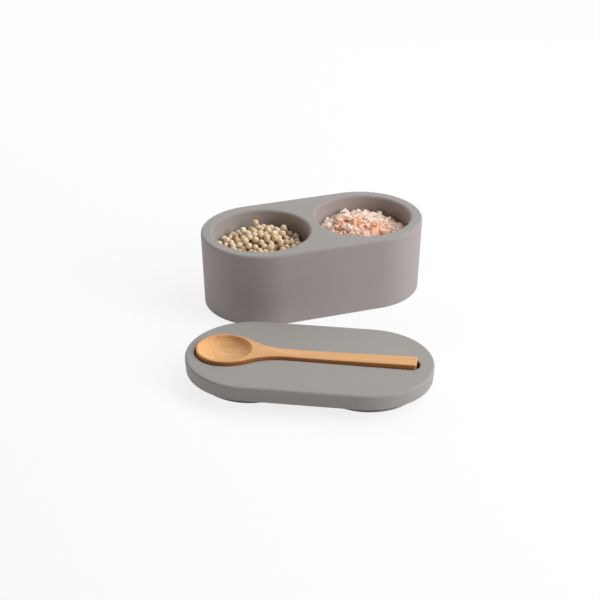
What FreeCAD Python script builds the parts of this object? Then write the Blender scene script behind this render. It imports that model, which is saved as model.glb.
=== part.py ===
import FreeCAD, Part
import math
import os

import Sketcher

# A spice box: a cast mineral block with two round wells, a cast lid with two plugs under it and a
# spoon-shaped recess in its top, a carved wooden spoon, and the two fillings. The lid is off and
# lies on its plugs in front of the block. Lengths are millimetres. The origin is the middle of the
# block's underside, with X along the block and Z up.

SIZES = {
    # Block, measured at the rim. Its sides lean out from a smaller foot.
    "box_length": 165.0,
    "box_width": 89.1,
    "box_height": 55.5,
    "box_draft": 1.6,
    "box_rim_round": 1.8,
    "box_foot_round": 1.0,
    # Wells, as large as the block's walls and the web between them allow. The wall leans in by the
    # draft between mouth and floor.
    "well_side_wall": 9.7,
    "well_end_wall": 8.6,
    "well_web": 8.4,
    "well_floor": 15.0,
    "well_draft": 1.2,
    "well_floor_round": 7.0,
    "well_mouth_round": 2.0,
    # Lid slab and the plugs that enter the wells.
    "lid_thickness": 10.5,
    "lid_draft": 0.6,
    "lid_top_round": 1.6,
    "lid_foot_round": 0.8,
    "plug_height": 7.5,
    "plug_clearance": 0.5,
    "plug_foot_round": 0.8,
    # Where the lid lies: turned, a gap in front of the block.
    "lid_aside": -46.0,
    "lid_gap": 15.0,
    "lid_turn_degrees": -27.5,
    # Spoon plan: round bowl, drawn-in neck, handle that widens slightly to a square end. Its length
    # leaves an inset at either end of the lid.
    "spoon_tip_inset": 7.0,
    "spoon_end_inset": 11.7,
    "bowl_width": 37.2,
    "shoulder_radius": 29.5,
    "neck_radius": 42.0,
    "handle_end_width": 11.8,
    "handle_flare_degrees": 0.55,
    "handle_corner_round": 1.2,
    # Spoon side view, measured up from its flat underside.
    "tip_thickness": 7.3,
    "neck_thickness": 6.7,
    "neck_place": 71.0,
    "end_thickness": 7.5,
    "neck_sweep_radius": 600.0,
    # Spoon bowl: the belly below the flat underside and the hollow scooped from above, both set in
    # from the bowl's edge.
    "belly_depth": 3.5,
    "belly_inset": 1.7,
    "belly_equator": 3.0,
    "hollow_tip_rim": 1.3,
    "hollow_side_rim": 1.5,
    "hollow_depth": 7.5,
    # Spoon edges.
    "spoon_under_round": 3.0,
    "spoon_top_round": 0.8,
    "hollow_lip_round": 0.35,
    # Recess in the lid that the spoon lies in.
    "slot_depth": 4.5,
    "slot_clearance": 1.1,
    "slot_end_room": 2.3,
    "slot_end_flat": 1.2,
    "slot_mouth_round": 0.5,
    "dish_clearance": 0.6,
    # Fillings: a shallow bed across each well with two domed mounds heaped on it. A drop is measured
    # from the rim down to the top of a dome, a rise from the dome's edge up to its top, and a mound's
    # place from the middle of its well.
    "heap_gap": 0.3,
    "pepper_bed_drop": 13.5,
    "pepper_bed_rise": 4.2,
    "pepper_crown_east": 6.1,
    "pepper_crown_north": 12.0,
    "pepper_crown_reach": 34.0,
    "pepper_crown_drop": 8.9,
    "pepper_crown_rise": 15.3,
    "pepper_flank_east": -12.2,
    "pepper_flank_north": 13.5,
    "pepper_flank_reach": 30.0,
    "pepper_flank_drop": 12.4,
    "pepper_flank_rise": 11.3,
    "salt_bed_drop": 14.4,
    "salt_bed_rise": 3.3,
    "salt_crown_east": 1.5,
    "salt_crown_north": 11.3,
    "salt_crown_reach": 34.0,
    "salt_crown_drop": 7.1,
    "salt_crown_rise": 12.1,
    "salt_flank_east": 18.0,
    "salt_flank_north": -3.8,
    "salt_flank_reach": 32.0,
    "salt_flank_drop": 11.3,
    "salt_flank_rise": 9.4,
    # Length that every cut runs past the solid.
    "overrun": 2.0,
}

# Two places closer than this share of the block's length count as the same.
SAME_PLACE_SHARE = 1e-6

VERTICAL = FreeCAD.Vector(0, 0, 1)

# Lengths that follow from the sizes.
WELL_RADIUS = (
    "min(Sheet.box_width / 2 - Sheet.well_side_wall;"
    " (Sheet.box_length - Sheet.well_web) / 4 - Sheet.well_end_wall / 2)"
)
WELL_PLACE = "(Sheet.box_length / 2 - Sheet.well_end_wall - %s)" % WELL_RADIUS
LID_TOP = "(Sheet.plug_height + Sheet.lid_thickness)"
LID_BACK = (
    "(Sheet.box_width + Sheet.lid_gap"
    " + (Sheet.box_length - Sheet.box_width) / 2 * abs(sin(Sheet.lid_turn_degrees * 1 deg)))"
)
SPOON_TIP = "(Sheet.spoon_tip_inset - Sheet.box_length / 2)"
SPOON_LENGTH = "(Sheet.box_length - Sheet.spoon_tip_inset - Sheet.spoon_end_inset)"
SLOT_CORNER = "Sheet.handle_end_width / 2 + Sheet.slot_clearance - Sheet.slot_end_flat / 2"
SPOON_BLANK = "max(Sheet.tip_thickness; Sheet.end_thickness)"
BELLY_RADIUS = "(Sheet.bowl_width / 2 - Sheet.belly_inset)"
HOLLOW_HALF_LENGTH = "(Sheet.bowl_width - Sheet.hollow_tip_rim) / 2"
HOLLOW_HALF_WIDTH = "(Sheet.bowl_width / 2 - Sheet.hollow_side_rim)"
HOLLOW_PLACE = "(Sheet.bowl_width + Sheet.hollow_tip_rim) / 2"

# The lip of the hollow lies between these shares of the hollow's half length and half width.
LIP_SHARES = (0.97, 1.01)

doc = FreeCAD.newDocument("spice_box")
sheet = doc.addObject("Spreadsheet::Sheet", "Sheet")


def fill_sheet():
    """Put each size in a cell of its own, under its name."""
    for row, (alias, value) in enumerate(SIZES.items(), start=1):
        cell = "A%d" % row
        sheet.set(cell, str(value))
        sheet.setAlias(cell, alias)
    doc.recompute()


def number(expression):
    """The value that an expression on the sheet has now."""
    return float(sheet.evalExpression(expression))


def same(first, second):
    """Whether two coordinates are the same place."""
    return abs(first - second) < SAME_PLACE_SHARE * number("Sheet.box_length")


def origin_feature(body, role):
    """A plane or axis of the body's own origin."""
    return next(item for item in body.Origin.OriginFeatures if item.Role == role)


def new_body(label):
    """An empty body that is named after its piece."""
    body = doc.addObject("PartDesign::Body", label)
    body.Label = label
    return body


def new_sketch(body, name, role, along="0", lift="0"):
    """A sketch on an origin plane, moved along its own X axis and lifted off the plane."""
    sketch = body.newObject("Sketcher::SketchObject", name)
    sketch.AttachmentSupport = [(origin_feature(body, role), "")]
    sketch.MapMode = "FlatFace"
    sketch.setExpression("AttachmentOffset.Base.x", along)
    sketch.setExpression("AttachmentOffset.Base.z", lift)
    return sketch


def line(sketch, start, end):
    """Add a straight edge between two points."""
    return sketch.addGeometry(Part.LineSegment(FreeCAD.Vector(*start, 0), FreeCAD.Vector(*end, 0)))


def arc(sketch, centre, radius, first, last):
    """Add a circular edge that runs anticlockwise between two angles in radians."""
    circle = Part.Circle(FreeCAD.Vector(*centre, 0), VERTICAL, radius)
    return sketch.addGeometry(Part.ArcOfCircle(circle, first, last))


def relate(sketch, kind, *where):
    """Add a constraint that has no size."""
    sketch.addConstraint(Sketcher.Constraint(kind, *where))


def dimension(sketch, kind, where, expression):
    """Add a constraint whose size follows the sheet."""
    index = sketch.addConstraint(Sketcher.Constraint(kind, *where, number(expression)))
    sketch.setExpression("Constraints[%d]" % index, expression)


def slope(sketch, edge, expression):
    """Hold a straight edge at an angle, given in degrees, to the sketch's X axis."""
    value = math.radians(number(expression))
    index = sketch.addConstraint(Sketcher.Constraint("Angle", edge, value))
    sketch.setExpression("Constraints[%d]" % index, "(%s) * 1 deg" % expression)


def feature(body, kind, name, profile, **expressions):
    """Add a sketch-based feature and bind its sizes to the sheet."""
    item = body.newObject("PartDesign::" + kind, name)
    item.Profile = profile
    for prop, expression in expressions.items():
        item.setExpression(prop, expression)
    return item


def turned(body, kind, name, profile):
    """A full turn of a profile about its sketch's own vertical axis."""
    item = feature(body, kind, name, profile)
    item.ReferenceAxis = (profile, ["V_Axis"])
    item.Angle = 360
    return item


def mirrored(body, name, original):
    """The same feature again on the other side of the body's YZ plane."""
    item = body.newObject("PartDesign::Mirrored", name)
    item.Originals = [original]
    item.MirrorPlane = (origin_feature(body, "YZ_Plane"), [""])
    body.Tip = item
    return item


def ellipsoid(body, kind, name, **expressions):
    """An ellipsoid added to or cut from a body, placed by its centre."""
    item = body.newObject("PartDesign::" + kind, name)
    item.AttachmentSupport = [(origin_feature(body, "XY_Plane"), "")]
    item.MapMode = "FlatFace"
    for prop, expression in expressions.items():
        item.setExpression(prop.replace("Centre_", "AttachmentOffset.Base."), expression)
    item.Angle1 = -90
    item.Angle2 = 90
    item.Angle3 = 360
    return item


def rounded(body, name, radius, wanted):
    """Round every edge of the body's present shape that the test picks out."""
    doc.recompute()
    base = body.Tip
    picked = ["Edge%d" % i for i, edge in enumerate(base.Shape.Edges, start=1) if wanted(edge)]
    if not picked:
        raise RuntimeError("no edges found for " + name)
    item = body.newObject("PartDesign::Fillet", name)
    item.Base = (base, picked)
    item.setExpression("Radius", radius)
    return item


def level(edge, height):
    """Whether an edge lies flat at a height."""
    box = edge.BoundBox
    return same(box.ZMin, height) and same(box.ZMax, height)


def upright(edge, along):
    """Whether an edge stands upright at a place along X."""
    box = edge.BoundBox
    return same(box.XMin, along) and same(box.XMax, along) and same(box.YLength, 0) and box.ZLength > 0


def on_obround(edge, length, width):
    """Whether an edge's middle lies on an obround outline about the body's Z axis."""
    middle = edge.valueAt((edge.FirstParameter + edge.LastParameter) / 2)
    reach = max(abs(middle.x) - (length - width) / 2, 0)
    return same(math.hypot(reach, middle.y), width / 2)


def obround(sketch, length, width):
    """Two half circles joined by straight sides, centred on the sketch's origin."""
    radius = number(width) / 2
    half = number(length) / 2 - radius
    right = arc(sketch, (half, 0), radius, -math.pi / 2, math.pi / 2)
    back = line(sketch, (half, radius), (-half, radius))
    left = arc(sketch, (-half, 0), radius, math.pi / 2, 3 * math.pi / 2)
    front = line(sketch, (-half, -radius), (half, -radius))
    for first, second in ((right, back), (back, left), (left, front), (front, right)):
        relate(sketch, "Tangent", first, 2, second, 1)
    relate(sketch, "Equal", right, left)
    relate(sketch, "Horizontal", back)
    relate(sketch, "Symmetric", left, 3, right, 3, -1, 1)
    dimension(sketch, "Radius", (right,), "(%s) / 2" % width)
    dimension(sketch, "DistanceX", (left, 3, right, 3), "(%s) - (%s)" % (length, width))


def drafted_obround(body, name, draft, height, lift="0"):
    """An obround slab that grows by the draft from its lower face to its upper one."""
    outline = new_sketch(body, name + "_outline", "XY_Plane", lift=lift)
    obround(
        outline,
        "Sheet.box_length - 2 * Sheet.%s" % draft,
        "Sheet.box_width - 2 * Sheet.%s" % draft,
    )
    return feature(
        body, "Pad", name, outline,
        Length="Sheet.%s" % height,
        TaperAngle="atan(Sheet.%s / Sheet.%s)" % (draft, height),
    )


def well_profile(sketch):
    """Half section of a well: floor, rounded corner, leaning wall, rounded mouth."""
    top = "Sheet.box_height"
    floor = "Sheet.well_floor"
    wall_foot = WELL_RADIUS + " - Sheet.well_draft"
    corner = "Sheet.well_floor_round"
    mouth = "Sheet.well_mouth_round"
    above = number(top) + number("Sheet.overrun")
    foot_x, foot_z = number(wall_foot), number(floor) + number(corner)
    mouth_x, mouth_z = number(WELL_RADIUS), number(top) - number(mouth)
    edge_x = mouth_x + number(mouth)
    axis = line(sketch, (0, above), (0, number(floor)))
    base = line(sketch, (0, number(floor)), (foot_x - number(corner), number(floor)))
    bend = arc(sketch, (foot_x - number(corner), foot_z), number(corner), -math.pi / 2, 0)
    wall = line(sketch, (foot_x, foot_z), (mouth_x, mouth_z))
    lip = arc(sketch, (edge_x, mouth_z), number(mouth), math.pi / 2, math.pi)
    rise = line(sketch, (edge_x, number(top)), (edge_x, above))
    cover = line(sketch, (edge_x, above), (0, above))
    relate(sketch, "Coincident", axis, 2, base, 1)
    relate(sketch, "Tangent", base, 2, bend, 1)
    relate(sketch, "Tangent", bend, 2, wall, 1)
    relate(sketch, "Tangent", wall, 2, lip, 2)
    relate(sketch, "Coincident", lip, 1, rise, 1)
    relate(sketch, "Coincident", rise, 2, cover, 1)
    relate(sketch, "Coincident", cover, 2, axis, 1)
    relate(sketch, "PointOnObject", axis, 1, -2)
    relate(sketch, "Vertical", axis)
    relate(sketch, "Horizontal", base)
    relate(sketch, "Vertical", lip, 3, lip, 1)
    relate(sketch, "Vertical", rise)
    relate(sketch, "Horizontal", cover)
    dimension(sketch, "DistanceY", (-1, 1, axis, 2), floor)
    dimension(sketch, "DistanceY", (-1, 1, lip, 1), top)
    dimension(sketch, "DistanceY", (-1, 1, axis, 1), top + " + Sheet.overrun")
    dimension(sketch, "DistanceX", (-1, 1, wall, 1), wall_foot)
    dimension(sketch, "DistanceX", (-1, 1, wall, 2), WELL_RADIUS)
    dimension(sketch, "Radius", (bend,), corner)
    dimension(sketch, "Radius", (lip,), mouth)


def make_box():
    """The block with its two wells."""
    body = new_body("box")
    block = drafted_obround(body, "block", "box_draft", "box_height")
    profile = new_sketch(body, "well_profile", "XZ_Plane", along=WELL_PLACE)
    well_profile(profile)
    well = turned(body, "Groove", "well", profile)
    mirrored(body, "wells", well)
    doc.recompute()
    if not body.Tip.Shape.Volume < well.Shape.Volume < block.Shape.Volume:
        raise RuntimeError("the wells cut nothing")
    length, width, height = (number("Sheet.box_" + side) for side in ("length", "width", "height"))
    rounded(
        body, "rim_round", "Sheet.box_rim_round",
        lambda edge: level(edge, height) and on_obround(edge, length, width),
    )
    rounded(body, "foot_round", "Sheet.box_foot_round", lambda edge: level(edge, 0))
    return body


def plug_profile(sketch):
    """Half section of a plug: flat foot, rounded edge, straight wall up into the slab."""
    radius = WELL_RADIUS + " - Sheet.plug_clearance"
    edge = "Sheet.plug_foot_round"
    top = "Sheet.plug_height + Sheet.lid_thickness / 2"
    axis = line(sketch, (0, number(top)), (0, 0))
    foot = line(sketch, (0, 0), (number(radius) - number(edge), 0))
    bend = arc(sketch, (number(radius) - number(edge), number(edge)), number(edge), -math.pi / 2, 0)
    wall = line(sketch, (number(radius), number(edge)), (number(radius), number(top)))
    cover = line(sketch, (number(radius), number(top)), (0, number(top)))
    relate(sketch, "Coincident", axis, 2, -1, 1)
    relate(sketch, "Coincident", foot, 1, -1, 1)
    relate(sketch, "Tangent", foot, 2, bend, 1)
    relate(sketch, "Tangent", bend, 2, wall, 1)
    relate(sketch, "Coincident", wall, 2, cover, 1)
    relate(sketch, "Coincident", cover, 2, axis, 1)
    relate(sketch, "Vertical", axis)
    relate(sketch, "Horizontal", foot)
    relate(sketch, "Vertical", wall)
    relate(sketch, "Horizontal", cover)
    dimension(sketch, "DistanceX", (-1, 1, wall, 1), radius)
    dimension(sketch, "DistanceY", (-1, 1, wall, 2), top)
    dimension(sketch, "Radius", (bend,), edge)


def spoon_outline(sketch, clearance="0", end_room="0"):
    """Plan of the spoon with its tip at the sketch's origin, larger all round by a clearance."""
    centre = "Sheet.bowl_width / 2"
    bowl = "Sheet.bowl_width / 2 + " + clearance
    shoulder = "Sheet.shoulder_radius + " + clearance
    neck = "Sheet.neck_radius - " + clearance
    end = SPOON_LENGTH + " + " + end_room
    end_width = "Sheet.handle_end_width + 2 * " + clearance
    flare = "Sheet.handle_flare_degrees"
    along = FreeCAD.Vector(math.cos(math.radians(number(flare))), math.sin(math.radians(number(flare))), 0)
    aside = FreeCAD.Vector(-along.y, along.x, 0)
    # The neck's circle touches the handle's edge and the shoulder's circle.
    corner = FreeCAD.Vector(number(end), number(end_width) / 2, 0)
    shoulder_at = FreeCAD.Vector(number(centre), number(bowl) - number(shoulder), 0)
    across = corner + aside * number(neck) - shoulder_at
    reach = number(shoulder) + number(neck)
    back = across.dot(along) - math.sqrt(across.dot(along) ** 2 - across.dot(across) + reach ** 2)
    foot = corner - along * back
    neck_at = foot + aside * number(neck)
    meet = math.atan2(neck_at.y - shoulder_at.y, neck_at.x - shoulder_at.x)
    foot_angle = math.radians(number(flare)) - math.pi / 2
    nose = arc(sketch, (number(centre), 0), number(bowl), math.pi / 2, 3 * math.pi / 2)
    back_shoulder = arc(sketch, (shoulder_at.x, shoulder_at.y), number(shoulder), meet, math.pi / 2)
    back_neck = arc(sketch, (neck_at.x, neck_at.y), number(neck), meet - math.pi, foot_angle)
    back_edge = line(sketch, (foot.x, foot.y), (corner.x, corner.y))
    square_end = line(sketch, (corner.x, corner.y), (corner.x, -corner.y))
    front_edge = line(sketch, (corner.x, -corner.y), (foot.x, -foot.y))
    front_neck = arc(sketch, (neck_at.x, -neck_at.y), number(neck), -foot_angle, math.pi - meet)
    front_shoulder = arc(sketch, (shoulder_at.x, -shoulder_at.y), number(shoulder), -math.pi / 2, -meet)
    relate(sketch, "Tangent", nose, 1, back_shoulder, 2)
    relate(sketch, "Tangent", back_shoulder, 1, back_neck, 1)
    relate(sketch, "Tangent", back_neck, 2, back_edge, 1)
    relate(sketch, "Coincident", back_edge, 2, square_end, 1)
    relate(sketch, "Coincident", square_end, 2, front_edge, 1)
    relate(sketch, "Tangent", front_edge, 2, front_neck, 1)
    relate(sketch, "Tangent", front_neck, 2, front_shoulder, 2)
    relate(sketch, "Tangent", front_shoulder, 1, nose, 2)
    relate(sketch, "PointOnObject", nose, 3, -1)
    relate(sketch, "Vertical", nose, 3, nose, 1)
    relate(sketch, "Vertical", nose, 3, nose, 2)
    relate(sketch, "Equal", back_shoulder, front_shoulder)
    relate(sketch, "Equal", back_neck, front_neck)
    relate(sketch, "Symmetric", square_end, 1, square_end, 2, -1)
    slope(sketch, back_edge, flare)
    slope(sketch, front_edge, "180 - " + flare)
    dimension(sketch, "DistanceX", (-1, 1, nose, 3), centre)
    dimension(sketch, "Radius", (nose,), bowl)
    dimension(sketch, "Radius", (back_shoulder,), shoulder)
    dimension(sketch, "Radius", (back_neck,), neck)
    dimension(sketch, "DistanceX", (-1, 1, square_end, 1), end)
    dimension(sketch, "DistanceY", (square_end, 2, square_end, 1), end_width)


def make_lid():
    """The slab with its plugs and the recess for the spoon, standing on its plugs."""
    body = new_body("lid")
    drafted_obround(body, "slab", "lid_draft", "lid_thickness", lift="Sheet.plug_height")
    profile = new_sketch(body, "plug_profile", "XZ_Plane", along=WELL_PLACE)
    plug_profile(profile)
    plug = turned(body, "Revolution", "plug", profile)
    mirrored(body, "plugs", plug)
    length, width, draft = (number("Sheet." + name) for name in ("box_length", "box_width", "lid_draft"))
    top = number(LID_TOP)
    under = number("Sheet.plug_height")
    rounded(
        body, "top_round", "Sheet.lid_top_round",
        lambda edge: level(edge, top) and on_obround(edge, length, width),
    )
    rounded(
        body, "under_round", "Sheet.lid_foot_round",
        lambda edge: level(edge, under) and on_obround(edge, length - 2 * draft, width - 2 * draft),
    )
    outline = new_sketch(body, "slot_outline", "XY_Plane", along=SPOON_TIP, lift=LID_TOP)
    spoon_outline(outline, "Sheet.slot_clearance", "Sheet.slot_end_room")
    before = body.Tip
    slot = feature(body, "Pocket", "slot", outline, Length="Sheet.slot_depth")
    doc.recompute()
    if not slot.Shape.Volume < before.Shape.Volume:
        raise RuntimeError("the slot cuts nothing")
    slot_end = number(SPOON_TIP + " + " + SPOON_LENGTH + " + Sheet.slot_end_room")
    rounded(body, "slot_corners", SLOT_CORNER, lambda edge: upright(edge, slot_end))
    ellipsoid(
        body, "SubtractiveEllipsoid", "dish",
        Centre_x=SPOON_TIP + " + Sheet.bowl_width / 2",
        Centre_z=LID_TOP + " - Sheet.slot_depth + Sheet.belly_equator",
        Radius1="Sheet.belly_depth + Sheet.belly_equator + Sheet.dish_clearance",
        Radius2=BELLY_RADIUS + " + Sheet.dish_clearance",
        Radius3=BELLY_RADIUS + " + Sheet.dish_clearance",
    )
    rounded(
        body, "slot_mouth", "Sheet.slot_mouth_round",
        lambda edge: level(edge, top) and not on_obround(
            edge, length - 2 * number("Sheet.lid_top_round"), width - 2 * number("Sheet.lid_top_round")),
    )
    body.setExpression(
        "Placement",
        "placement(vector(Sheet.lid_aside; -%s; 0);"
        " rotation(vector(0; 0; 1); Sheet.lid_turn_degrees))" % LID_BACK,
    )
    return body


def top_line(sketch):
    """What is cut away above the spoon: bowl and handle both rise gently from the neck."""
    start = "-Sheet.overrun"
    end = SPOON_LENGTH + " + Sheet.overrun"
    above = SPOON_BLANK + " + Sheet.overrun"
    sweep = "Sheet.neck_sweep_radius"
    lift = "Sheet.neck_thickness + Sheet.neck_sweep_radius"
    left = FreeCAD.Vector(number(start), number("Sheet.tip_thickness"), 0)
    right = FreeCAD.Vector(number(end), number("Sheet.end_thickness"), 0)
    ceiling = number(above)
    # Each run leaves its end as a tangent of the sweep's circle.
    centre = FreeCAD.Vector(number("Sheet.neck_place"), number(lift), 0)
    radius = number(sweep)
    from_left, from_right = left - centre, right - centre
    first = math.atan2(from_left.y, from_left.x) + math.acos(radius / from_left.Length)
    last = math.atan2(from_right.y, from_right.x) - math.acos(radius / from_right.Length)
    blend = arc(sketch, (centre.x, centre.y), radius, first, last)
    meet_left, meet_right = sketch.getPoint(blend, 1), sketch.getPoint(blend, 2)
    bowl_run = line(sketch, (left.x, left.y), (meet_left.x, meet_left.y))
    handle_run = line(sketch, (meet_right.x, meet_right.y), (right.x, right.y))
    far_side = line(sketch, (right.x, right.y), (right.x, ceiling))
    cover = line(sketch, (right.x, ceiling), (left.x, ceiling))
    near_side = line(sketch, (left.x, ceiling), (left.x, left.y))
    relate(sketch, "Tangent", bowl_run, 2, blend, 1)
    relate(sketch, "Tangent", blend, 2, handle_run, 1)
    relate(sketch, "Coincident", handle_run, 2, far_side, 1)
    relate(sketch, "Coincident", far_side, 2, cover, 1)
    relate(sketch, "Coincident", cover, 2, near_side, 1)
    relate(sketch, "Coincident", near_side, 2, bowl_run, 1)
    relate(sketch, "Vertical", far_side)
    relate(sketch, "Horizontal", cover)
    relate(sketch, "Vertical", near_side)
    dimension(sketch, "DistanceX", (bowl_run, 1, -1, 1), "Sheet.overrun")
    dimension(sketch, "DistanceY", (-1, 1, bowl_run, 1), "Sheet.tip_thickness")
    dimension(sketch, "DistanceX", (-1, 1, handle_run, 2), end)
    dimension(sketch, "DistanceY", (-1, 1, handle_run, 2), "Sheet.end_thickness")
    dimension(sketch, "DistanceY", (-1, 1, cover, 1), above)
    dimension(sketch, "Radius", (blend,), sweep)
    dimension(sketch, "DistanceX", (-1, 1, blend, 3), "Sheet.neck_place")
    dimension(sketch, "DistanceY", (-1, 1, blend, 3), lift)


def make_spoon():
    """The wooden spoon, tip at its own origin and flat underside at height 0."""
    body = new_body("spoon")
    outline = new_sketch(body, "outline", "XY_Plane")
    spoon_outline(outline)
    blank = feature(body, "Pad", "blank", outline, Length=SPOON_BLANK)
    side = new_sketch(body, "top_line", "XZ_Plane")
    top_line(side)
    carve = feature(body, "Pocket", "carved_top", side, Length="2 * Sheet.bowl_width")
    carve.Midplane = True
    doc.recompute()
    if not carve.Shape.Volume < blank.Shape.Volume:
        raise RuntimeError("the top line cuts nothing")
    end = number(SPOON_LENGTH)
    lowest = number("min(Sheet.neck_thickness; Sheet.tip_thickness) - Sheet.spoon_top_round")
    rounded(body, "end_corners", "Sheet.handle_corner_round", lambda edge: upright(edge, end))
    rounded(body, "under_round", "Sheet.spoon_under_round", lambda edge: level(edge, 0))

    def outer_top(edge):
        """Edges round the top, without the cross lines where bowl, sweep and handle join."""
        box = edge.BoundBox
        crossing = same(box.XLength, 0) and box.XMax < end and not same(box.XMax, end)
        return box.ZMin > lowest and not crossing

    rounded(body, "top_round", "Sheet.spoon_top_round", outer_top)
    ellipsoid(
        body, "AdditiveEllipsoid", "belly",
        Centre_x="Sheet.bowl_width / 2",
        Centre_z="Sheet.belly_equator",
        Radius1="Sheet.belly_depth + Sheet.belly_equator",
        Radius2=BELLY_RADIUS,
        Radius3=BELLY_RADIUS,
    )
    ellipsoid(
        body, "SubtractiveEllipsoid", "hollow",
        Centre_x=HOLLOW_PLACE,
        Centre_z="Sheet.tip_thickness",
        Radius1="Sheet.hollow_depth",
        Radius2=HOLLOW_HALF_LENGTH,
        Radius3=HOLLOW_HALF_WIDTH,
    )
    long_half, wide_half = number(HOLLOW_HALF_LENGTH), number(HOLLOW_HALF_WIDTH)

    def lip(edge):
        """Edges where the hollow breaks through the top."""
        middle = edge.valueAt((edge.FirstParameter + edge.LastParameter) / 2)
        reach = math.hypot((middle.x - number(HOLLOW_PLACE)) / long_half, middle.y / wide_half)
        return LIP_SHARES[0] < reach < LIP_SHARES[1] and edge.BoundBox.ZMin > lowest

    rounded(body, "hollow_lip", "Sheet.hollow_lip_round", lip)
    body.setExpression(
        "Placement",
        "placement(vector("
        "Sheet.lid_aside + %s * cos(Sheet.lid_turn_degrees * 1 deg);"
        " %s * sin(Sheet.lid_turn_degrees * 1 deg) - %s;"
        " %s - Sheet.slot_depth);"
        " rotation(vector(0; 0; 1); Sheet.lid_turn_degrees))" % (SPOON_TIP, SPOON_TIP, LID_BACK, LID_TOP),
    )
    return body


def dome_profile(sketch, reach, drop, rise):
    """Half section of a column that stands on the well's floor and ends in a round dome."""
    floor = "Sheet.well_floor"
    peak = "Sheet.box_height - " + drop
    edge = "Sheet.box_height - %s - %s" % (drop, rise)
    half, up = number(reach), number(rise)
    dome_radius = (half ** 2 + up ** 2) / (2 * up)
    dome_centre = (0, number(peak) - dome_radius)
    edge_angle = math.atan2(number(edge) - dome_centre[1], half)
    axis = line(sketch, (0, number(peak)), (0, number(floor)))
    base = line(sketch, (0, number(floor)), (half, number(floor)))
    side = line(sketch, (half, number(floor)), (half, number(edge)))
    dome = arc(sketch, dome_centre, dome_radius, edge_angle, math.pi / 2)
    relate(sketch, "Coincident", axis, 2, base, 1)
    relate(sketch, "Coincident", base, 2, side, 1)
    relate(sketch, "Coincident", side, 2, dome, 1)
    relate(sketch, "Coincident", dome, 2, axis, 1)
    relate(sketch, "PointOnObject", axis, 1, -2)
    relate(sketch, "PointOnObject", dome, 3, -2)
    relate(sketch, "Vertical", axis)
    relate(sketch, "Horizontal", base)
    relate(sketch, "Vertical", side)
    dimension(sketch, "DistanceY", (-1, 1, axis, 2), floor)
    dimension(sketch, "DistanceY", (-1, 1, axis, 1), peak)
    dimension(sketch, "DistanceX", (-1, 1, side, 1), reach)
    dimension(sketch, "DistanceY", (-1, 1, side, 2), edge)


def surround_profile(sketch):
    """Half section of all that a filling leaves free: what lies past a gap inside the well's faces."""
    floor = "Sheet.well_floor + Sheet.heap_gap"
    corner = "Sheet.well_floor_round"
    wall_foot = WELL_RADIUS + " - Sheet.well_draft - Sheet.heap_gap"
    wall_top = WELL_RADIUS + " - Sheet.heap_gap"
    top = "Sheet.box_height"
    far = "Sheet.box_length / 2"
    foot_x, foot_z = number(wall_foot), number(floor) + number(corner)
    axis = line(sketch, (0, -number(top)), (0, number(floor)))
    base = line(sketch, (0, number(floor)), (foot_x - number(corner), number(floor)))
    bend = arc(sketch, (foot_x - number(corner), foot_z), number(corner), -math.pi / 2, 0)
    wall = line(sketch, (foot_x, foot_z), (number(wall_top), number(top)))
    cover = line(sketch, (number(wall_top), number(top)), (number(far), number(top)))
    side = line(sketch, (number(far), number(top)), (number(far), -number(top)))
    under = line(sketch, (number(far), -number(top)), (0, -number(top)))
    relate(sketch, "Coincident", axis, 2, base, 1)
    relate(sketch, "Tangent", base, 2, bend, 1)
    relate(sketch, "Tangent", bend, 2, wall, 1)
    relate(sketch, "Coincident", wall, 2, cover, 1)
    relate(sketch, "Coincident", cover, 2, side, 1)
    relate(sketch, "Coincident", side, 2, under, 1)
    relate(sketch, "Coincident", under, 2, axis, 1)
    relate(sketch, "PointOnObject", axis, 1, -2)
    relate(sketch, "Vertical", axis)
    relate(sketch, "Horizontal", base)
    relate(sketch, "Horizontal", cover)
    relate(sketch, "Vertical", side)
    relate(sketch, "Horizontal", under)
    dimension(sketch, "DistanceY", (-1, 1, axis, 2), floor)
    dimension(sketch, "DistanceY", (axis, 1, -1, 1), top)
    dimension(sketch, "DistanceX", (-1, 1, wall, 1), wall_foot)
    dimension(sketch, "DistanceX", (-1, 1, wall, 2), wall_top)
    dimension(sketch, "DistanceY", (-1, 1, wall, 2), top)
    dimension(sketch, "DistanceX", (-1, 1, side, 1), far)
    dimension(sketch, "Radius", (bend,), corner)


def make_filling(label, spice, side):
    """A bed with mounds heaped on it, trimmed to the well on one side of the block."""
    body = new_body(label)
    bed = new_sketch(body, "bed_profile", "XZ_Plane")
    dome_profile(bed, WELL_RADIUS, "Sheet.%s_bed_drop" % spice, "Sheet.%s_bed_rise" % spice)
    turned(body, "Revolution", "bed", bed)
    for mound in ("crown", "flank"):
        size = "Sheet.%s_%s_" % (spice, mound)
        profile = new_sketch(
            body, mound + "_profile", "XZ_Plane", along=size + "east", lift="-%snorth" % size)
        dome_profile(profile, size + "reach", size + "drop", size + "rise")
        turned(body, "Revolution", mound, profile)
    doc.recompute()
    untrimmed = body.Tip.Shape.Volume
    surround = new_sketch(body, "surround_profile", "XZ_Plane")
    surround_profile(surround)
    turned(body, "Groove", "well_trim", surround)
    doc.recompute()
    if not body.Tip.Shape.Volume < untrimmed:
        raise RuntimeError("the well trims nothing off " + label)
    body.setExpression("Placement.Base.x", "%d * %s" % (side, WELL_PLACE))
    return body


def check(bodies):
    """Stop if a feature failed or a piece is not one sound solid."""
    for item in doc.Objects:
        if {"Invalid", "Error"} & set(item.State):
            raise RuntimeError("%s failed: %s" % (item.Label, item.State))
        if item.isDerivedFrom("Sketcher::SketchObject") and not item.FullyConstrained:
            raise RuntimeError("%s is not fully constrained" % item.Label)
    for body in bodies:
        shape = body.Shape
        if shape.isNull() or not shape.isValid() or len(shape.Solids) != 1:
            raise RuntimeError("%s is not one valid solid" % body.Label)


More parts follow.
